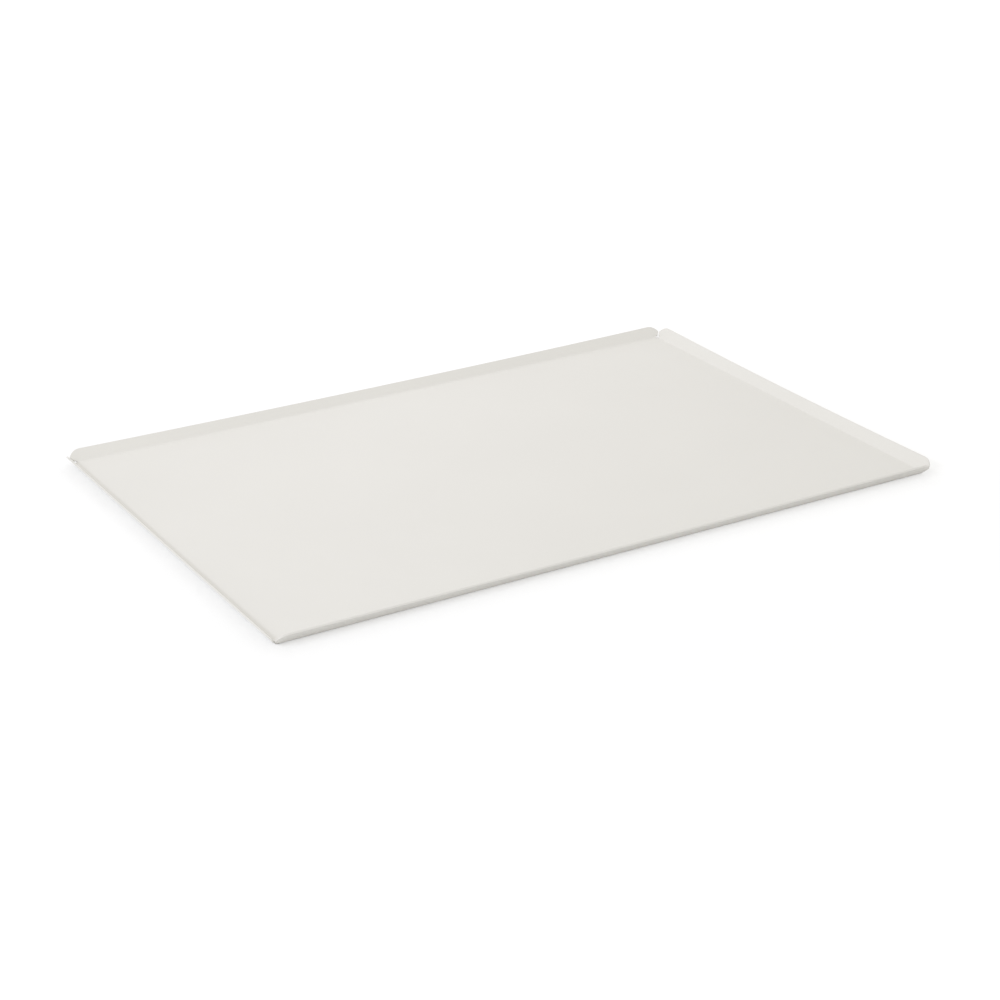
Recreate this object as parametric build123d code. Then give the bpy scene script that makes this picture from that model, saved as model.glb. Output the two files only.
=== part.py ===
from build123d import *
import os
from math import cos, radians, sin, sqrt

# Cookie sheet: one flat metal blank folded into a shallow tray, coated on both sides.
# Frame: millimetres, +Z up, +X along the long side. The origin is the middle of the
# underside, on the surface that the tray rests on.

# Overall size of the finished tray, coats included. The height is that of the rims' ends.
tray_length = 600.0
tray_width = 400.0
rim_height = 10.8
rim_slope_degrees = 50.0

# How far each rim's top edge dips in its middle, measured down the slope
long_rim_dip = 1.65
short_rim_dip = 1.4

# Sheet and coats
metal_thickness = 1.4
cooking_coat_thickness = 0.06
underside_coat_thickness = 0.04

# Folds and corners, measured on the finished cooking face
inner_bend_radius = 3.0
corner_slit_width = 0.5
corner_slit_rise = 4.2
slit_mouth_radius = 1.5
rim_end_radius = 11.0
relief_hole_diameter = 3.0
floor_corner_trim = 0.2

# Allowance by which every cutting and trimming tool runs past what it trims
tool_overrun = 5.0

# Worked out from the sizes above
finished_thickness = cooking_coat_thickness + metal_thickness + underside_coat_thickness
coat_parting_depth = cooking_coat_thickness + metal_thickness / 2
outer_bend_radius = inner_bend_radius + finished_thickness
slope_sine = sin(radians(rim_slope_degrees))
slope_cosine = cos(radians(rim_slope_degrees))
bend_centre_height = finished_thickness + inner_bend_radius
bend_rise = inner_bend_radius * (1 - slope_cosine)
rim_straight_length = (rim_height - finished_thickness - bend_rise) / slope_sine
rim_reach = outer_bend_radius * slope_sine + rim_straight_length * slope_cosine
relief_hole_out = (relief_hole_diameter / 2 - floor_corner_trim) / sqrt(2)
bend_start_x = tray_length / 2 - rim_reach
bend_start_y = tray_width / 2 - rim_reach


def bend_point(bend_start, depth, turn_degrees):
    """Point on a bend, as outward distance and height, at a depth below the cooking face."""
    radius = inner_bend_radius + depth
    turn = radians(turn_degrees)
    return (bend_start + radius * sin(turn), bend_centre_height - radius * cos(turn))


def rim_point(bend_start, depth, up_slope):
    """Point on the straight part of a rim, a distance up the slope from the end of the bend."""
    out, height = bend_point(bend_start, depth, rim_slope_degrees)
    return (out + up_slope * slope_cosine, height + up_slope * slope_sine)


def rim_section(bend_start, top_depth, bottom_depth, inset):
    """Cross-section of a bend and its rim between two depths of the sheet."""
    up_slope = rim_straight_length - inset
    half_turn = rim_slope_degrees / 2
    edges = [
        ThreePointArc(
            bend_point(bend_start, top_depth, 0),
            bend_point(bend_start, top_depth, half_turn),
            bend_point(bend_start, top_depth, rim_slope_degrees),
        ),
        Line(rim_point(bend_start, top_depth, 0), rim_point(bend_start, top_depth, up_slope)),
        Line(rim_point(bend_start, top_depth, up_slope), rim_point(bend_start, bottom_depth, up_slope)),
        Line(rim_point(bend_start, bottom_depth, up_slope), rim_point(bend_start, bottom_depth, 0)),
        ThreePointArc(
            bend_point(bend_start, bottom_depth, rim_slope_degrees),
            bend_point(bend_start, bottom_depth, half_turn),
            bend_point(bend_start, bottom_depth, 0),
        ),
        Line(bend_point(bend_start, bottom_depth, 0), bend_point(bend_start, top_depth, 0)),
    ]
    return Plane.YZ * make_face(edges)


def rim_end(half_length, side):
    """Edges of one end of a rim on its own slope, and the end's lowest and highest points.

    The local Y runs up the slope from the end of the bend. Up to the slit's mouth the end leans
    outwards, so that two neighbouring rims leave a slit of one width between them. Above it the
    end is one arc that runs into the top edge.
    """
    end_at_bend = half_length + inner_bend_radius * slope_sine - corner_slit_width / sqrt(2)
    below = outer_bend_radius + tool_overrun
    mouth_along = end_at_bend + corner_slit_rise * slope_cosine
    centre_up = rim_straight_length - rim_end_radius
    centre_along = mouth_along - sqrt(rim_end_radius**2 - (corner_slit_rise - centre_up) ** 2)
    foot = (side * (end_at_bend - below * slope_cosine), -below)
    mouth = (side * mouth_along, corner_slit_rise)
    top = (side * centre_along, rim_straight_length)
    return [Line(foot, mouth), RadiusArc(mouth, top, -side * rim_end_radius)], foot, top


def rim_outline(half_length, dip, inset):
    """Outline of a rim on its own slope, with its top edge dipping towards the middle."""
    right_edges, right_foot, right_top = rim_end(half_length, 1)
    left_edges, left_foot, left_top = rim_end(half_length, -1)
    top_edge = ThreePointArc(right_top, (0, rim_straight_length - dip), left_top)
    outline = make_face(right_edges + [top_edge] + left_edges + [Line(left_foot, right_foot)])
    slit_mouths = outline.vertices().group_by(Axis.Y)[1]
    outline = fillet(slit_mouths, slit_mouth_radius)
    return offset(outline, amount=-inset, kind=Kind.INTERSECTION) if inset else outline


def folded_rim(bend_start, half_length, dip, top_depth, bottom_depth, inset):
    """One bend with its rim, on the +Y side, trimmed to the rim's outline."""
    section = rim_section(bend_start, top_depth, bottom_depth, inset)
    run = extrude(section, amount=half_length + rim_reach + tool_overrun, both=True)
    out, height = bend_point(bend_start, 0, rim_slope_degrees)
    slope_plane = Plane(
        origin=(0, out, height),
        x_dir=(1, 0, 0),
        z_dir=(0, -slope_sine, slope_cosine),
    )
    trimmer_reach = finished_thickness + outer_bend_radius + tool_overrun
    outline = rim_outline(half_length, dip, inset)
    trimmer = extrude(slope_plane * outline, amount=trimmer_reach, both=True)
    return run & trimmer


def folded_layer(top_depth, bottom_depth, inset=0):
    """The whole folded blank between two depths of the sheet, drawn in from its cut edges."""
    thickness = bottom_depth - top_depth
    layer = Pos(0, 0, finished_thickness - bottom_depth) * Box(
        2 * bend_start_x,
        2 * bend_start_y,
        thickness,
        align=(Align.CENTER, Align.CENTER, Align.MIN),
    )
    long_rim = folded_rim(bend_start_y, bend_start_x, long_rim_dip, top_depth, bottom_depth, inset)
    short_rim = folded_rim(bend_start_x, bend_start_y, short_rim_dip, top_depth, bottom_depth, inset)
    for turn, rim in ((0, long_rim), (90, short_rim), (180, long_rim), (270, short_rim)):
        layer += Rot(0, 0, turn) * rim
    return layer - corner_holes(inset)


def corner_holes(inset):
    """Round relief holes, one in each pair of bends, that just take off the floor's corners."""
    radius = relief_hole_diameter / 2 + inset
    cutter = Cylinder(radius, rim_height + tool_overrun)
    hole_x, hole_y = bend_start_x + relief_hole_out, bend_start_y + relief_hole_out
    return [Pos(side_x * hole_x, side_y * hole_y, 0) * cutter for side_x in (-1, 1) for side_y in (-1, 1)]


def metal_sheet():
    """The folded metal, drawn in from every cut edge by the coat that covers the edge."""
    bottom_depth = finished_thickness - underside_coat_thickness
    return folded_layer(cooking_coat_thickness, bottom_depth, cooking_coat_thickness)


def cooking_side_coat(metal):
    """The coat of the cooking face, wrapped over the cut edges to half their depth."""
    return folded_layer(0, coat_parting_depth) - metal


def underside_coat(metal):
    """The coat of the underside, which meets the cooking side's coat halfway down each edge."""
    return folded_layer(coat_parting_depth, finished_thickness) - metal


metal = metal_sheet()
nodes = {
    "folded_metal_sheet": metal,
    "cooking_side_coating": cooking_side_coat(metal),
    "underside_coating": underside_coat(metal),
}

os.makedirs("parts", exist_ok=True)
for name, shape in nodes.items():
    export_step(shape, f"parts/{name}.step")
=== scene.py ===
from math import asin, atan, atan2, cos, pi, radians, sin, sqrt

import bpy
from mathutils import Matrix, Vector
from mathutils.geometry import delaunay_2d_cdt


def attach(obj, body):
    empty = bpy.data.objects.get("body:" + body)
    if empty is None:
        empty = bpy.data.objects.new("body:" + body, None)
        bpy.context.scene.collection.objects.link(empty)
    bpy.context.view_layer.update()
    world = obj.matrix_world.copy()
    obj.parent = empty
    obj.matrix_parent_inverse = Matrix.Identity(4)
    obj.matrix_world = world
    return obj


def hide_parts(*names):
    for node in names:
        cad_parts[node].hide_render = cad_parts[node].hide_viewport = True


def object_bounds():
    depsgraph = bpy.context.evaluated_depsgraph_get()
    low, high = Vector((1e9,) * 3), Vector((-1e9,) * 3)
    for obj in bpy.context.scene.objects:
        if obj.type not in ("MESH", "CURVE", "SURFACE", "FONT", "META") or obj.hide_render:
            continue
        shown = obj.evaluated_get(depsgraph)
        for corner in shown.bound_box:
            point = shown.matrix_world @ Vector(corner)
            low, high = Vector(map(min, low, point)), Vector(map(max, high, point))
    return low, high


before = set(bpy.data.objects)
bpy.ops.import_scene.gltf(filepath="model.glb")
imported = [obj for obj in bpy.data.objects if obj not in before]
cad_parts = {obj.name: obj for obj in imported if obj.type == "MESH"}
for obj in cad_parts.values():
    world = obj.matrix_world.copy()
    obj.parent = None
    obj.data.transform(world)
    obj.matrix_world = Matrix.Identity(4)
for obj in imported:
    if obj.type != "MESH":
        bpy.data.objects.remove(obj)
cad_low, cad_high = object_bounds()

# Sizes of the sheet, in millimetres. The overall size comes from the bounds of the imported model.
millimetre = 0.001
tray_length = (cad_high.x - cad_low.x) / millimetre
tray_width = (cad_high.y - cad_low.y) / millimetre
rim_height = cad_high.z / millimetre
rim_slope = radians(50.0)
sheet_thickness = 1.5
cooking_coat_thickness = 0.06
underside_coat_thickness = 0.04
inner_bend_radius = 3.0
long_rim_dip = 1.65
short_rim_dip = 1.4
corner_slit_width = 0.5
corner_slit_rise = 4.2
slit_mouth_radius = 1.5
rim_end_radius = 11.0
relief_hole_radius = 1.5
floor_corner_trim = 0.2
edge_round = 0.3

# Worked out from the sizes above
slope_sine, slope_cosine = sin(rim_slope), cos(rim_slope)
outer_bend_radius = sheet_thickness + inner_bend_radius
bend_centre_height = outer_bend_radius
bend_length = inner_bend_radius * rim_slope
bend_out = inner_bend_radius * slope_sine
rim_straight = (rim_height - sheet_thickness - inner_bend_radius * (1 - slope_cosine)) / slope_sine
rim_reach = outer_bend_radius * slope_sine + rim_straight * slope_cosine
bend_start_x = tray_length / 2 - rim_reach
bend_start_y = tray_width / 2 - rim_reach
blank_reach = bend_length + rim_straight
relief_hole_out = (relief_hole_radius - floor_corner_trim) / sqrt(2)
coat_parting_depth = sheet_thickness / 2

# A rim's end, as distances past the neighbour's bend start and past its own, on the blank
lean_stretch = sqrt(1 + slope_cosine**2)
lean = atan(slope_cosine)
end_at_bend = bend_out - corner_slit_width / sqrt(2)
mouth_along = end_at_bend + corner_slit_rise * slope_cosine
mouth_up = bend_length + corner_slit_rise
end_centre_up = blank_reach - rim_end_radius
end_centre_along = mouth_along - sqrt(rim_end_radius**2 - (mouth_up - end_centre_up) ** 2)

# How finely the meshes are divided. Both faces end inside the outline, where the edge begins.
floor_grid_pitch = 20.0
support_width = 0.4
face_inset = edge_round + support_width
bend_steps = 16
round_steps = 20
mouth_steps = 8
hole_steps = 36
edge_steps = 5
weld_distance = 1e-5
faces_inside_outline = 1
least_corner_cosine = 0.7


def folded_point(x, y, depth):
    """Where a point of the flat blank lies after folding, at a depth below the cooking face."""
    over_x, over_y = abs(x) - bend_start_x, abs(y) - bend_start_y
    over = max(over_x, over_y)
    if over <= 0:
        return Vector((x, y, sheet_thickness - depth)) * millimetre
    turn = min(over / bend_length, 1.0) * rim_slope
    straight = max(over - bend_length, 0.0)
    radius = inner_bend_radius + depth
    out = radius * sin(turn) + straight * slope_cosine
    height = bend_centre_height - radius * cos(turn) + straight * slope_sine
    if over_y > over_x:
        y = (bend_start_y + out) * (1 if y > 0 else -1)
    else:
        x = (bend_start_x + out) * (1 if x > 0 else -1)
    return Vector((x, y, height)) * millimetre


def up_the_blank(out):
    """Distance past the start of the bend, along the flat blank, of what ends up that far out."""
    if out <= 0:
        return out
    if out <= bend_out:
        return inner_bend_radius * asin(out / inner_bend_radius)
    return bend_length + (out - bend_out) / slope_cosine


def mitred_end(up):
    """How far past its neighbour's bend start the slit's edge lies, at a distance up the blank."""
    if up >= bend_length:
        return end_at_bend + (up - bend_length) * slope_cosine
    turn = max(up, 0.0) / inner_bend_radius
    return end_at_bend - inner_bend_radius * sin(rim_slope - turn) * slope_cosine


def mouth_round_centre():
    """Centre of the small arc that joins the slit's edge to the arc of the rim's end."""
    offset = mitred_end(bend_length) - bend_length * slope_cosine - slit_mouth_radius * lean_stretch
    offset -= end_centre_along
    square = lean_stretch**2
    half_linear = offset * slope_cosine - end_centre_up
    rest = offset**2 + end_centre_up**2 - (rim_end_radius - slit_mouth_radius) ** 2
    up = (sqrt(half_linear**2 - square * rest) - half_linear) / square
    return end_centre_along + offset + slope_cosine * up, up


def arc_points(centre, radius, start, stop, steps):
    """Points along an arc about a centre, both ends included."""
    angles = [start + (stop - start) * step / steps for step in range(steps + 1)]
    return [(centre[0] + radius * cos(angle), centre[1] + radius * sin(angle)) for angle in angles]


def rim_end_points(inset):
    """The outline of one end of a rim, from the floor's corner to the rim's top edge.

    A point is (distance past the neighbour's bend start, distance past its own), on the blank.
    """
    points = []
    hole_centre = (relief_hole_out, relief_hole_out)
    hole_radius = relief_hole_radius + inset
    floor_side, slit_side = radians(225.0), radians(45.0)
    hole = arc_points(hole_centre, hole_radius, floor_side, slit_side, hole_steps)
    for step, (along, out) in enumerate(hole):
        up = up_the_blank(out)
        if step > hole_steps / 2 and along > mitred_end(up) - inset * lean_stretch:
            break
        points.append((along, up))
    mouth = mouth_round_centre()
    mouth_turn = atan2(mouth[1] - end_centre_up, mouth[0] - end_centre_along)
    points += arc_points(mouth, slit_mouth_radius - inset, -lean, mouth_turn, mouth_steps)
    end_centre = (end_centre_along, end_centre_up)
    points += arc_points(end_centre, rim_end_radius - inset, mouth_turn, pi / 2, round_steps)[1:]
    return points


def grid_places(half):
    """Evenly spaced places across the floor between two opposite bend starts."""
    count = round(2 * half / floor_grid_pitch)
    return [-half + 2 * half * step / count for step in range(1, count)]


def top_edge_points(half, dip, inset):
    """Points of a rim's dipping top edge, as (place along the rim, distance up the blank)."""
    reach = half + end_centre_along
    points = []
    for place in reversed(grid_places(half)):
        dip_here = dip * (1 - (place / reach) ** 2)
        points.append((place, blank_reach - inset - dip_here))
    return points


def blank_outline(inset):
    """The whole blank's outline, drawn in by an inset, in order round the sheet."""
    end = rim_end_points(inset)
    corner = [(bend_start_x + up, bend_start_y + along) for along, up in reversed(end)]
    corner += [(bend_start_x + along, bend_start_y + up) for along, up in end[1:]]
    long_top = top_edge_points(bend_start_x, long_rim_dip, inset)
    short_top = top_edge_points(bend_start_y, short_rim_dip, inset)
    long_edge = [(place, bend_start_y + up) for place, up in long_top]
    short_edge = [(bend_start_x + up, place) for place, up in short_top]
    outline = []
    for side_x, side_y in ((1, 1), (-1, 1), (-1, -1), (1, -1)):
        points = corner + long_edge if side_x * side_y > 0 else corner[::-1] + short_edge
        outline += [(x * side_x, y * side_y) for x, y in points]
    return outline


def fold_rows():
    """Lines on the blank for the mesh to follow: rows along each bend and a grid on the floor."""
    rows = []
    ups = [bend_length * step / bend_steps for step in range(bend_steps + 1)]
    ups += [-support_width, bend_length + support_width, bend_length + rim_straight / 2]
    for start, half in ((bend_start_y, bend_start_x), (bend_start_x, bend_start_y)):
        for up in ups:
            for side in (-1, 1):
                reach = half + max(mitred_end(up), 0.0)
                ends = ((-reach, side * (start + up)), (reach, side * (start + up)))
                rows.append(ends if start == bend_start_y else tuple((y, x) for x, y in ends))
    for half, other in ((bend_start_x, bend_start_y), (bend_start_y, bend_start_x)):
        for place in grid_places(half):
            reach = other + blank_reach
            ends = ((place, -reach), (place, reach))
            rows.append(ends if half == bend_start_x else tuple((y, x) for x, y in ends))
    return rows


def blank_mesh():
    """The flat blank as points, triangles and the loops of points along its edge."""
    outline = blank_outline(face_inset)
    points = [Vector(p) for p in outline]
    edges = []
    for start, end in fold_rows():
        edges.append((len(points), len(points) + 1))
        points += [Vector(start), Vector(end)]
    face = [list(range(len(outline)))]
    triangulation = delaunay_2d_cdt(points, edges, face, faces_inside_outline, weld_distance)
    points, _, faces, *_ = triangulation
    used = dict.fromkeys(edge for a, b, c in faces for edge in ((a, b), (b, c), (c, a)))
    follow = {a: b for a, b in used if (b, a) not in used}
    loops = []
    while follow:
        loop, here = [], next(iter(follow))
        while here in follow:
            loop.append(here)
            here = follow.pop(here)
        loops.append(loop)
    return points, faces, loops


def outward(points, loop):
    """Outward direction at each point of an anticlockwise edge loop, longer at corners."""
    result = []
    count = len(loop)
    for i in range(count):
        before = points[loop[i]] - points[loop[i - 1]]
        after = points[loop[(i + 1) % count]] - points[loop[i]]
        normals = [Vector((d.y, -d.x)).normalized() for d in (before, after)]
        middle = (normals[0] + normals[1]).normalized()
        result.append(middle / max(middle.dot(normals[1]), least_corner_cosine))
    return result


blank_points, blank_faces, blank_loops = blank_mesh()


def layer_mesh(name, top_depth, bottom_depth, edge_path):
    """A closed layer of the folded sheet, between two depths.

    The edge path runs from the upper face to the lower, as (outset from the outline, depth).
    """
    count = len(blank_points)
    vertices = [folded_point(p.x, p.y, top_depth) for p in blank_points]
    vertices += [folded_point(p.x, p.y, bottom_depth) for p in blank_points]
    faces = [tuple(face) for face in blank_faces]
    faces += [tuple(i + count for i in reversed(face)) for face in blank_faces]
    for loop in blank_loops:
        directions = outward(blank_points, loop)
        rings = [loop]
        for outset, depth in edge_path:
            rings.append(list(range(len(vertices), len(vertices) + len(loop))))
            for i, direction in zip(loop, directions):
                p = blank_points[i] + direction * (outset + face_inset)
                vertices.append(folded_point(p.x, p.y, depth))
        rings.append([i + count for i in loop])
        for upper, lower in zip(rings, rings[1:]):
            for i in range(len(loop)):
                j = (i + 1) % len(loop)
                faces.append((upper[i], lower[i], lower[j], upper[j]))
    mesh = bpy.data.meshes.new(name)
    mesh.from_pydata(vertices, [], faces)
    mesh.validate()
    mesh.shade_smooth()
    piece = bpy.data.objects.new(name, mesh)
    bpy.context.scene.collection.objects.link(piece)
    return piece


def quarter_round(radius, start_depth, downward):
    """Path points round an edge, from a face to the cut edge, as (outset, depth)."""
    points = []
    for step in range(edge_steps + 1):
        angle = pi / 2 * step / edge_steps
        depth = start_depth + downward * radius * (1 - cos(angle))
        points.append((radius * (sin(angle) - 1), depth))
    return points


def shifted(path, shift):
    """The same path points, drawn in from the outline."""
    return [(outset - shift, depth) for outset, depth in path]


# The coats cover the cut edge to the cooking coat's thickness, and meet halfway down it
coat_at_edge = cooking_coat_thickness
core_round = edge_round - coat_at_edge
core_bottom_depth = sheet_thickness - underside_coat_thickness
outer_top = quarter_round(edge_round, 0.0, 1)
outer_bottom = quarter_round(edge_round, sheet_thickness, -1)
core_top = shifted(quarter_round(core_round, cooking_coat_thickness, 1), coat_at_edge)
core_bottom = shifted(quarter_round(core_round, core_bottom_depth, -1), coat_at_edge)
parting = [(0.0, coat_parting_depth), (-coat_at_edge, coat_parting_depth)]
cooking_path = outer_top + parting + core_top[::-1]
underside_path = core_bottom + parting[::-1] + outer_bottom[::-1]
core_path = core_top + core_bottom[::-1]

cooking_coat = layer_mesh("ivory_cooking_coat", 0.0, cooking_coat_thickness, cooking_path)
underside_coat = layer_mesh(
    "ivory_underside_coat", core_bottom_depth, sheet_thickness, underside_path
)
metal_core = layer_mesh(
    "folded_metal_core", cooking_coat_thickness, core_bottom_depth, core_path
)
for piece, node, slot in (
    (cooking_coat, "cooking_side_coating", "cooking_coat"),
    (underside_coat, "underside_coating", "underside_coat"),
    (metal_core, "folded_metal_sheet", "bare_metal"),
):
    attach(piece, "root")
    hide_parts(node)

# Looks of the coats and the metal. Scales are in waves per metre and depths in metres.
ivory_levels = (232, 231, 227)
cloud_shade = 0.985
cloud_scale, cloud_detail = 9.0, 3.0
satin_scale, satin_detail = 35.0, 4.0
satin_roughness = (0.56, 0.64)
wave_scale, wave_detail, wave_depth = 14.0, 2.0, 0.00012
peel_scale, peel_detail, peel_depth = 900.0, 2.0, 0.000006
coat_ior = 1.5
aluminium = (0.77, 0.78, 0.78)
rolled_scale, rolled_detail = 300.0, 3.0
rolled_roughness = (0.3, 0.45)

# The part of 0 to 1 that most of a noise lies in
noise_range = (0.3, 0.7)


def linear(level):
    """Scene-linear value of a colour level given as 0 to 255 in the picture."""
    share = level / 255.0
    return share / 12.92 if share <= 0.04045 else ((share + 0.055) / 1.055) ** 2.4


def new_material(name):
    """A new material, with its node tree and its principled shader."""
    material = bpy.data.materials.new(name)
    material.use_nodes = True
    tree = material.node_tree
    shader = tree.nodes["Principled BSDF"]
    return material, tree, shader


def noise(tree, scale, detail):
    """Noise in the object's own coordinates."""
    place = tree.nodes.new("ShaderNodeTexCoord")
    texture = tree.nodes.new("ShaderNodeTexNoise")
    texture.inputs["Scale"].default_value = scale
    texture.inputs["Detail"].default_value = detail
    tree.links.new(place.outputs["Object"], texture.inputs["Vector"])
    return texture.outputs["Fac"]


def mapped(tree, value, old_range, new_range):
    """A value mapped from one range to another and held at its ends.

    An end of the new range is a number or another node's output.
    """
    node = tree.nodes.new("ShaderNodeMapRange")
    node.inputs["From Min"].default_value, node.inputs["From Max"].default_value = old_range
    for name, end in zip(("To Min", "To Max"), new_range):
        if isinstance(end, float):
            node.inputs[name].default_value = end
        else:
            tree.links.new(end, node.inputs[name])
    tree.links.new(value, node.inputs["Value"])
    return node.outputs["Result"]


def mixed_color(tree, factor, first, second):
    """A colour that runs from one to another as the factor goes from 0 to 1."""
    mix = tree.nodes.new("ShaderNodeMix")
    mix.data_type = "RGBA"
    mix.inputs["A"].default_value = (*first, 1.0)
    mix.inputs["B"].default_value = (*second, 1.0)
    tree.links.new(factor, mix.inputs["Factor"])
    return mix.outputs["Result"]


def computed(tree, operation, first, second):
    """The result of a mathematical operation on two other nodes' outputs."""
    node = tree.nodes.new("ShaderNodeMath")
    node.operation = operation
    tree.links.new(first, node.inputs[0])
    tree.links.new(second, node.inputs[1])
    return node.outputs[0]


def bump(tree, height, distance, normal=None):
    """A bump of a given depth, on top of another one where it is given."""
    node = tree.nodes.new("ShaderNodeBump")
    node.inputs["Strength"].default_value = 1.0
    node.inputs["Distance"].default_value = distance
    tree.links.new(height, node.inputs["Height"])
    if normal:
        tree.links.new(normal, node.inputs["Normal"])
    return node.outputs["Normal"]


def coat_material(name, color):
    """Satin ivory coat: faint cloudiness, uneven satin and a fine orange-peel texture."""
    material, tree, shader = new_material(name)
    darker = [channel * cloud_shade for channel in color]
    clouds = mapped(tree, noise(tree, cloud_scale, cloud_detail), noise_range, (0.0, 1.0))
    tree.links.new(mixed_color(tree, clouds, darker, color), shader.inputs["Base Color"])
    satin = mapped(tree, noise(tree, satin_scale, satin_detail), noise_range, satin_roughness)
    tree.links.new(satin, shader.inputs["Roughness"])
    waves = bump(tree, noise(tree, wave_scale, wave_detail), wave_depth)
    peel = bump(tree, noise(tree, peel_scale, peel_detail), peel_depth, waves)
    tree.links.new(peel, shader.inputs["Normal"])
    shader.inputs["IOR"].default_value = coat_ior
    return material


def metal_material():
    """Rolled aluminium under the coats."""
    material, tree, shader = new_material("rolled_aluminium")
    shader.inputs["Base Color"].default_value = (*aluminium, 1.0)
    shader.inputs["Metallic"].default_value = 1.0
    rolled = mapped(tree, noise(tree, rolled_scale, rolled_detail), noise_range, rolled_roughness)
    tree.links.new(rolled, shader.inputs["Roughness"])
    return material


ivory = tuple(linear(level) for level in ivory_levels)
cooking_coat.data.materials.append(coat_material("ivory_cooking_finish", ivory))
underside_coat.data.materials.append(coat_material("ivory_underside_finish", ivory))
metal_core.data.materials.append(metal_material())


def seen_factor(tree):
    """1 where the camera, a reflection or glass sees a surface, and 0 where it lights others."""
    path = tree.nodes.new("ShaderNodeLightPath")
    seen = path.outputs["Is Camera Ray"]
    for output in ("Is Glossy Ray", "Is Transmission Ray"):
        seen = computed(tree, "MAXIMUM", seen, path.outputs[output])
    return seen


white = (1.0, 1.0, 1.0)
room_light = (0.816, 0.800, 0.770)
world = bpy.data.worlds.new("studio")
bpy.context.scene.world = world
world.use_nodes = True
world_tree = world.node_tree
world_color = mixed_color(world_tree, seen_factor(world_tree), room_light, white)
world_tree.links.new(world_color, world_tree.nodes["Background"].inputs["Color"])

# The floor is white paper, in metres. Where it is seen, a lift brings it up to plain white and
# leaves the soft shadow round the sheet. Less light falls on its +X side, which has more lift.
floor_size = 6.0
floor_drop = 0.00002
floor_albedo = (0.85, 0.85, 0.85)
floor_seen_albedo = (0.583, 0.589, 0.597)
lift_left, lift_right = 0.421, 0.489
lift_half_width = 0.45
lift_near, lift_far = 0.4, 1.0
full_lift = 1.0


def floor_material():
    """White paper with its lift, which grows to full at a distance from the sheet."""
    material, tree, shader = new_material("floor_paper")
    color = mixed_color(tree, seen_factor(tree), floor_albedo, floor_seen_albedo)
    tree.links.new(color, shader.inputs["Base Color"])
    shader.inputs["Roughness"].default_value = 1.0
    shader.inputs["Specular IOR Level"].default_value = 0.0
    shader.inputs["Emission Color"].default_value = (*white, 1.0)
    place = tree.nodes.new("ShaderNodeTexCoord").outputs["Object"]
    distance = tree.nodes.new("ShaderNodeVectorMath")
    distance.operation = "LENGTH"
    tree.links.new(place, distance.inputs[0])
    parts = tree.nodes.new("ShaderNodeSeparateXYZ")
    tree.links.new(place, parts.inputs[0])
    width = (-lift_half_width, lift_half_width)
    near_lift = mapped(tree, parts.outputs["X"], width, (lift_left, lift_right))
    distances = (lift_near, lift_far)
    lift = mapped(tree, distance.outputs["Value"], distances, (near_lift, full_lift))
    glow = computed(tree, "MULTIPLY", seen_factor(tree), lift)
    tree.links.new(glow, shader.inputs["Emission Strength"])
    return material


half = floor_size / 2
floor_corners = [(-half, -half, 0), (half, -half, 0), (half, half, 0), (-half, half, 0)]
floor_mesh = bpy.data.meshes.new("floor")
floor_mesh.from_pydata(floor_corners, [], [(0, 1, 2, 3)])
floor_mesh.materials.append(floor_material())
floor = bpy.data.objects.new("floor", floor_mesh)
bpy.context.scene.collection.objects.link(floor)
floor.location.z = -floor_drop


def soft_lamp(name, place, width, height, power, tint):
    """A soft area lamp that looks at the middle of the tray."""
    data = bpy.data.lights.new(name, "AREA")
    data.shape = "RECTANGLE"
    data.size, data.size_y = width, height
    data.energy = power
    data.color = tint
    lamp = bpy.data.objects.new(name, data)
    bpy.context.scene.collection.objects.link(lamp)
    lamp.location = place
    lamp.rotation_mode = "QUATERNION"
    lamp.rotation_quaternion = (-lamp.location).to_track_quat("-Z", "Y")


# Places and sizes in metres, powers in watts
soft_lamp(
    "back_softbox",
    place=(0.1, 0.5, 0.5),
    width=0.4,
    height=0.4,
    power=0.483,
    tint=(0.98, 0.97, 1.05),
)
soft_lamp(
    "left_strip",
    place=(-1.7, -0.4, 1.2),
    width=1.2,
    height=0.3,
    power=8.9,
    tint=(0.96, 0.985, 1.09),
)

# Camera, fitted to the photograph. Distances are in millimetres, and the focal share is the
# lens as a share of the sensor's width.
camera_azimuth = radians(-30.501)
camera_elevation = radians(23.637)
camera_roll = radians(-0.521)
camera_distance = 1856.583
camera_target = Vector((-29.368, -56.775, 0.0))
focal_share = 2.329805
sensor_width = 36.0

camera_data = bpy.data.cameras.new("camera")
camera = bpy.data.objects.new("camera", camera_data)
bpy.context.scene.collection.objects.link(camera)
bpy.context.scene.camera = camera
camera_data.sensor_width = sensor_width
camera_data.lens = sensor_width * focal_share
camera_data.clip_start, camera_data.clip_end = 0.05, 50.0
back = Vector((
    sin(camera_azimuth) * cos(camera_elevation),
    -cos(camera_azimuth) * cos(camera_elevation),
    sin(camera_elevation),
))
level_right = Vector((cos(camera_azimuth), sin(camera_azimuth), 0.0))
level_up = back.cross(level_right)
right = level_right * cos(camera_roll) + level_up * sin(camera_roll)
up = level_up * cos(camera_roll) - level_right * sin(camera_roll)
camera_place = Matrix.Translation((camera_target + back * camera_distance) * millimetre)
camera_turn = Matrix((right, up, back)).transposed().to_4x4()
camera.matrix_world = camera_place @ camera_turn

bpy.context.scene.view_settings.view_transform = "Standard"
